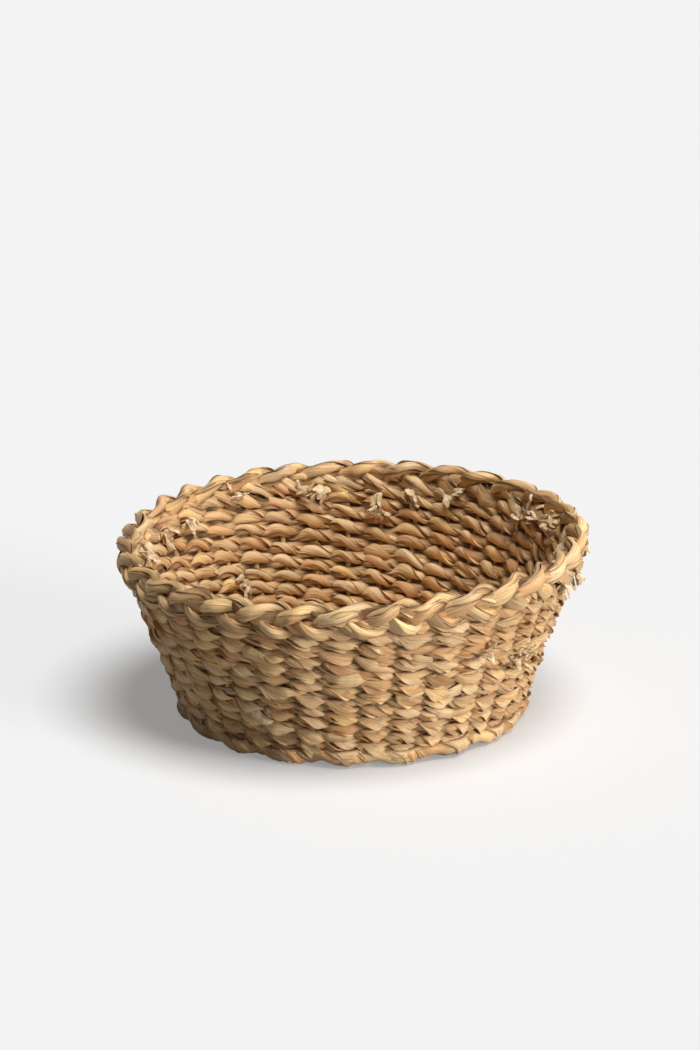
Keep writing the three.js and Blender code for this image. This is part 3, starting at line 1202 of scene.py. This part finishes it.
@dataclass
class LooseLeaves:
    """Broad leaves that lie over the weave where one leaf of a cord gives way to the next."""

    line: WeaveLine
    finish: bpy.types.Material
    known: tuple[LooseLeaf, ...] = (
        LooseLeaf(math.radians(-92.5), 68 * MM, 30 * MM, 7.0 * MM, math.radians(-8), shade=0.62),
        LooseLeaf(math.radians(-73), 52 * MM, 21 * MM, 3.4 * MM, math.radians(188), 1.0, 0.66),
        LooseLeaf(math.radians(-61), 50 * MM, 19 * MM, 4.6 * MM, math.radians(4), 1.0, 0.6),
        LooseLeaf(math.radians(-84), 88 * MM, 24 * MM, 6.0 * MM, math.radians(-14), shade=0.42),
        LooseLeaf(math.radians(-119), 34 * MM, 20 * MM, 5.0 * MM, math.radians(-38), shade=0.95),
    )
    scattered: int = 34
    thickness: float = 0.7 * MM
    curl: float = 0.22
    wobble: float = 0.8 * MM
    tuck: float = 3.4 * MM  # how far an end dips between the cords
    cut_tuck: float = 0.4 * MM
    edge_painted_shade: float = 0.7
    seed: int = 17

    def tree(self) -> bpy.types.NodeTree:
        """Builds the tree of one leaf.

        Returns:
            A tree whose inputs are the leaf's place, way and size.
        """
        tree = LeafTree("loose_leaf")
        grid, travel, turn = tree.sheet(tree.count("Rings", 28), tree.count("Sides", 13))
        angle = tree.number("Angle", 0.0)
        level = tree.number("Level", 0.15)
        radius = tree.number("Radius", 0.12)
        length = tree.number("Length", 25 * MM)
        half_width = tree.number("Half Width", 5 * MM)
        way = tree.number("Way", 0.0)
        cut = tree.number("Cut", 0.0)
        shade = tree.number("Shade", 0.5)
        out = tree.number("Out", 5.2 * MM)
        seed = tree.number("Seed", 0.0)
        material = tree.material()

        pointed = (travel * (1.0 - travel) * 4.0) ** 0.7
        square = (travel * 1.6).within() ** 0.7 * ((1.0 - travel) * 28.0).within() ** 0.4
        outline = tree.blend(cut, pointed, square)
        face, edge = turn.cos(), turn.sin()
        wobble = tree.noise(travel * 3.0 + seed * 5.3)
        across = half_width * outline * edge * (wobble * 0.3 + 1.0)
        along = (travel - 0.5) * length
        far = (travel * 2.0 - 1.0).size()
        tucked = far * far * tree.blend(cut * (travel - 0.5).ease(), self.tuck, self.cut_tuck)
        bulge = face * self.thickness * outline ** 0.5 - edge * edge * half_width * self.curl
        bulge = bulge + wobble * self.wobble
        right = along * way.cos() - across * way.sin()
        up = along * way.sin() + across * way.cos()
        position = self.line.place(tree, level + up, out + bulge - tucked, angle + right / radius)
        grain = tree.vector(along, across, seed)
        # Painted shade: darker towards both ends, where they dip between the cords, and along the edges.
        free_of_painted_shade = (1.0 - far * far * far * 0.5) * tree.outlined(edge, self.edge_painted_shade)
        tone = tree.vector(shade, tree.chance(seed, 1.0), free_of_painted_shade)
        tree.close(tree.bend(grid, position, grain, tone), material)
        return tree.tree

    def scatter(self, dice: random.Random, i: int) -> LooseLeaf:
        """A leaf at a random place in its share of the wall.

        Args:
            dice: what draws the numbers.
            i: the leaf's number, which sets its share.

        Returns:
            The leaf.
        """
        return LooseLeaf(
            angle=math.tau * (i + dice.uniform(-0.4, 0.4)) / self.scattered,
            height=dice.uniform(20, 90) * MM,
            length=dice.uniform(20, 32) * MM,
            half_width=dice.uniform(3.0, 5.5) * MM,
            way=math.radians(dice.uniform(-30, 6)),
            cut=float(dice.random() < 0.25),
            shade=dice.uniform(0.3, 0.8),
        )

    def build(self) -> None:
        """Lays the leaves seen in front and more of them all round as one piece."""
        dice = random.Random(self.seed)
        leaves = [*self.known, *(self.scatter(dice, i) for i in range(self.scattered))]
        layers = []
        for i, leaf in enumerate(leaves):
            level = self.line.level_at(leaf.height)
            layers.append({
                "Angle": leaf.angle,
                "Level": level,
                "Radius": self.line.point(level, 0.0, leaf.angle).xy.length,
                "Length": leaf.length,
                "Half Width": leaf.half_width,
                "Way": leaf.way,
                "Cut": leaf.cut,
                "Shade": leaf.shade,
                "Seed": float(self.seed + i),
                "Material": self.finish,
            })
        install(grow("loose_leaves", self.tree(), layers), [])


@dataclass
class Studio:
    """A plain pale floor under soft light, and the camera at the photograph's angle."""

    backdrop: float = 0.889
    floor_colour: float = 0.812
    floor_bounce: float = 0.34  # the floor's colour for the light it throws back on the basket
    floor_half: float = 40.0
    shadow_lift: float = 0.30  # share of the backdrop in what the camera sees of the floor
    fill_strength: float = 0.05
    key_strength: float = 3.1
    key_azimuth: float = math.radians(-45)
    key_elevation: float = math.radians(72)
    key_spread: float = math.radians(34)
    side_strength: float = 3.83
    side_azimuth: float = math.radians(-30)
    side_elevation: float = math.radians(5)
    side_spread: float = math.radians(24)
    distance: float = 4.0
    elevation: float = math.radians(19.58)
    roll: float = math.radians(-0.28)
    pixels_per_metre: float = 1570.9
    image_width: int = 700
    image_height: int = 1050
    middle_x: float = 352.6
    middle_y: float = 619.1
    target_height: float = 60 * MM
    sensor: float = 36.0

    def floor(self) -> None:
        """Adds the floor, which keeps the basket's shadow."""
        made = bpy.data.materials.new("pale_floor")
        graph = shader_graph(made)
        surfaces = []
        for shade in (self.floor_bounce, self.floor_colour):
            colour = (shade, shade, shade, 1.0)
            inputs = {"Base Color": colour, "Roughness": 0.95, "Specular IOR Level": 0.0}
            surfaces.append(graph.node("ShaderNodeBsdfPrincipled", {}, inputs))
        plain = {"Color": (self.backdrop,) * 3 + (1.0,), "Strength": 1.0}
        glow = graph.node("ShaderNodeEmission", {}, plain)
        pale = graph.node("ShaderNodeMixShader", {}, {0: self.shadow_lift, 1: surfaces[1], 2: glow})
        mixed = graph.node("ShaderNodeMixShader", {}, {0: self.seen(graph), 1: surfaces[0], 2: pale})
        graph.end("ShaderNodeOutputMaterial", mixed)
        mesh = bpy.data.meshes.new("floor")
        half = self.floor_half
        corners = [(-half, -half, 0), (half, -half, 0), (half, half, 0), (-half, half, 0)]
        mesh.from_pydata(corners, [], [(0, 1, 2, 3)])
        mesh.materials.append(made)
        plane = put("floor", mesh)

    @staticmethod
    def seen(graph: Graph) -> Field:
        """Tells what is seen, also in metal or through glass, from the light that is thrown back.

        Args:
            graph: the graph of a material or of the room.

        Returns:
            1 where the surface is seen and 0 for the light that it throws back.
        """
        kinds = ("Is Camera Ray", "Is Glossy Ray", "Is Transmission Ray")
        camera, glossy, through = (graph.node("ShaderNodeLightPath", output=kind) for kind in kinds)
        return camera.at_least(glossy).at_least(through)

    @staticmethod
    def lamp(name: str, strength: float, azimuth: float, elevation: float, spread: float) -> None:
        """Adds one wide, even lamp.

        Args:
            name: the lamp's name.
            strength: its strength.
            azimuth: where it stands, round from the basket's right.
            elevation: its height over the floor as an angle.
            spread: its width as an angle, which softens the shadow.
        """
        data = bpy.data.lights.new(name, "SUN")
        data.energy = strength
        data.angle = spread
        flat = math.cos(elevation)
        towards = Vector((flat * math.cos(azimuth), flat * math.sin(azimuth), math.sin(elevation)))
        put(name, data).rotation_euler = towards.to_track_quat("Z", "Y").to_euler()

    def light(self) -> None:
        """Adds a high key light and a low side light from the front right, and the room's even fill."""
        self.lamp("key", self.key_strength, self.key_azimuth, self.key_elevation, self.key_spread)
        self.lamp("side", self.side_strength, self.side_azimuth, self.side_elevation, self.side_spread)
        world = bpy.data.worlds.new("studio")
        graph = shader_graph(world)
        white = {"Color": (1, 1, 1, 1), "Strength": self.fill_strength}
        pale = {"Color": (self.backdrop,) * 3 + (1.0,), "Strength": 1.0}
        fill = graph.node("ShaderNodeBackground", {}, white)
        backdrop = graph.node("ShaderNodeBackground", {}, pale)
        mixed = graph.node("ShaderNodeMixShader", {}, {0: self.seen(graph), 1: fill, 2: backdrop})
        graph.end("ShaderNodeOutputWorld", mixed)
        bpy.context.scene.world = world

    def camera(self) -> None:
        """Adds the camera, framed by where the basket's middle lies in the picture."""
        data = bpy.data.cameras.new("camera")
        data.sensor_width = self.sensor
        data.lens = self.sensor * self.pixels_per_metre * self.distance / self.image_height
        data.shift_x = (self.image_width / 2 - self.middle_x) / self.image_height
        data.shift_y = (self.middle_y - self.image_height / 2) / self.image_height
        data.clip_end = 5 * self.floor_half
        camera = put("camera", data)
        target = Vector((0.0, 0.0, self.target_height))
        back = Vector((0.0, -math.cos(self.elevation), math.sin(self.elevation)))
        camera.location = target + back * self.distance
        camera.rotation_euler = back.to_track_quat("Z", "Y").to_matrix().to_4x4().to_euler()
        camera.rotation_euler.rotate_axis("Z", self.roll)
        bpy.context.scene.camera = camera

    def build(self) -> None:
        """Sets the whole studio up."""
        self.floor()
        self.light()
        self.camera()
        bpy.context.scene.view_settings.view_transform = "Standard"
        log.info("studio ready")


def weave(
    line: WeaveLine,
    wall: bpy.types.Material,
    rim: bpy.types.Material,
    base: bpy.types.Material,
) -> None:
    """Builds every cord of the wall, the base and the foot.

    Args:
        line: the middle line of the stakes.
        wall: the leaf of the wall's cords.
        rim: the leaf of the cords behind the plait.
        base: the leaf of the base's cords and the foot.
    """
    ply = LeafPly(line).build()
    # The wall's last cord runs on past its solid for two rounds, and two more lie behind the plait.
    first_height = 12.3 * MM
    rise_of_round = 4.5767 * MM
    spiral = {
        "first_level": line.level_at(first_height),
        "round_height": rise_of_round / math.cos(line.lean),
        "first_angle": math.radians(35),
    }
    Weavers(
        line, ply, wall, Slot.WALL, numbered("wall_weaver", 6), turns=20, turns_each=3, sizes={},
        core=3.7 * MM, lead=28, **spiral,
    ).build()
    Weavers(
        line, ply, rim, Slot.RIM, ["tucked_rounds"], turns=2, turns_each=2,
        sizes={"Out": 0.0, "Swing": 2.2 * MM}, core=4.2 * MM, first_turn=20, has_solids=False, seed=91,
        **spiral,
    ).build()
    # The base's cords lie flat on the spokes, from the fan out to the bend.
    flat = {
        "Swing": -1.6 * MM, "Dip": 0.0, "Out": 0.0, "Unevenness": 0.6,
        **both("Slant", 0.0), **both("Helix", 1.7 * MM), **both("Half Width", 5.2 * MM),
        **both("Half Thickness", 1.0 * MM), **both("Flatness", 0.7),
    }
    Weavers(
        line, ply, base, Slot.BASE, numbered("base_weaver", 3), turns=8, turns_each=2, sizes=flat,
        first_level=49.0 * MM, round_height=6.8253 * MM, first_angle=math.radians(60), core=5.0 * MM,
        section_points=13, lead=5, lap=14, seed=41,
    ).build()
    # The foot is one thick cord round the bend, below the wall's first round.
    # Lit takes some of the painted gap shade off the foot.
    thick = {
        "Out": 3.2 * MM, "Swing": 1.2 * MM, "Dip": 0.0, "Slant Inside": 0.5 * MM, "Pinch": 0.0,
        "Unevenness": 0.45, "Curl": 0.7, "Lit": 1.6 * MM, **both("Helix", 2.3 * MM),
        **both("Half Width", 4.7 * MM), **both("Half Thickness", 2.6 * MM),
    }
    Weavers(
        line, ply, base, Slot.BASE, ["foot_round"], turns=1, turns_each=1, sizes=thick,
        first_level=line.bend_start + 8.2 * MM, round_height=0.0, first_angle=math.radians(75),
        core=5.3 * MM, first_turn=-1, lap=1.6, seed=71,
    ).build()


def main() -> None:
    """Builds the studio and every piece of the basket."""
    logging.basicConfig(level=logging.INFO, format="%(name)s: %(message)s")
    line = WeaveLine()
    Studio().build()
    wall_leaf = LeafFinish("wall_leaf").material()
    # The rim's leaf is the wall's leaf painted darker, as painted shade against the strong key light
    # that falls on the rim.
    rim_leaf = LeafFinish("rim_leaf", lightness=0.74).material()
    stake_leaf = LeafFinish("stake_leaf").material()
    base_leaf = LeafFinish("base_leaf").material()
    frayed_leaf = LeafFinish("frayed_leaf", shades=(
        (0.3, (0.480, 0.320, 0.170)), (0.7, (0.660, 0.490, 0.290)), (1.0, (0.780, 0.630, 0.430)),
    )).material()
    Stakes(line, stake_leaf).build()
    weave(line, wall_leaf, rim_leaf, base_leaf)
    RimPlait(line, rim_leaf).build()
    LooseLeaves(line, wall_leaf).build()
    FrayedEnds(line, frayed_leaf).build()


if __name__ == "__main__":
    main()
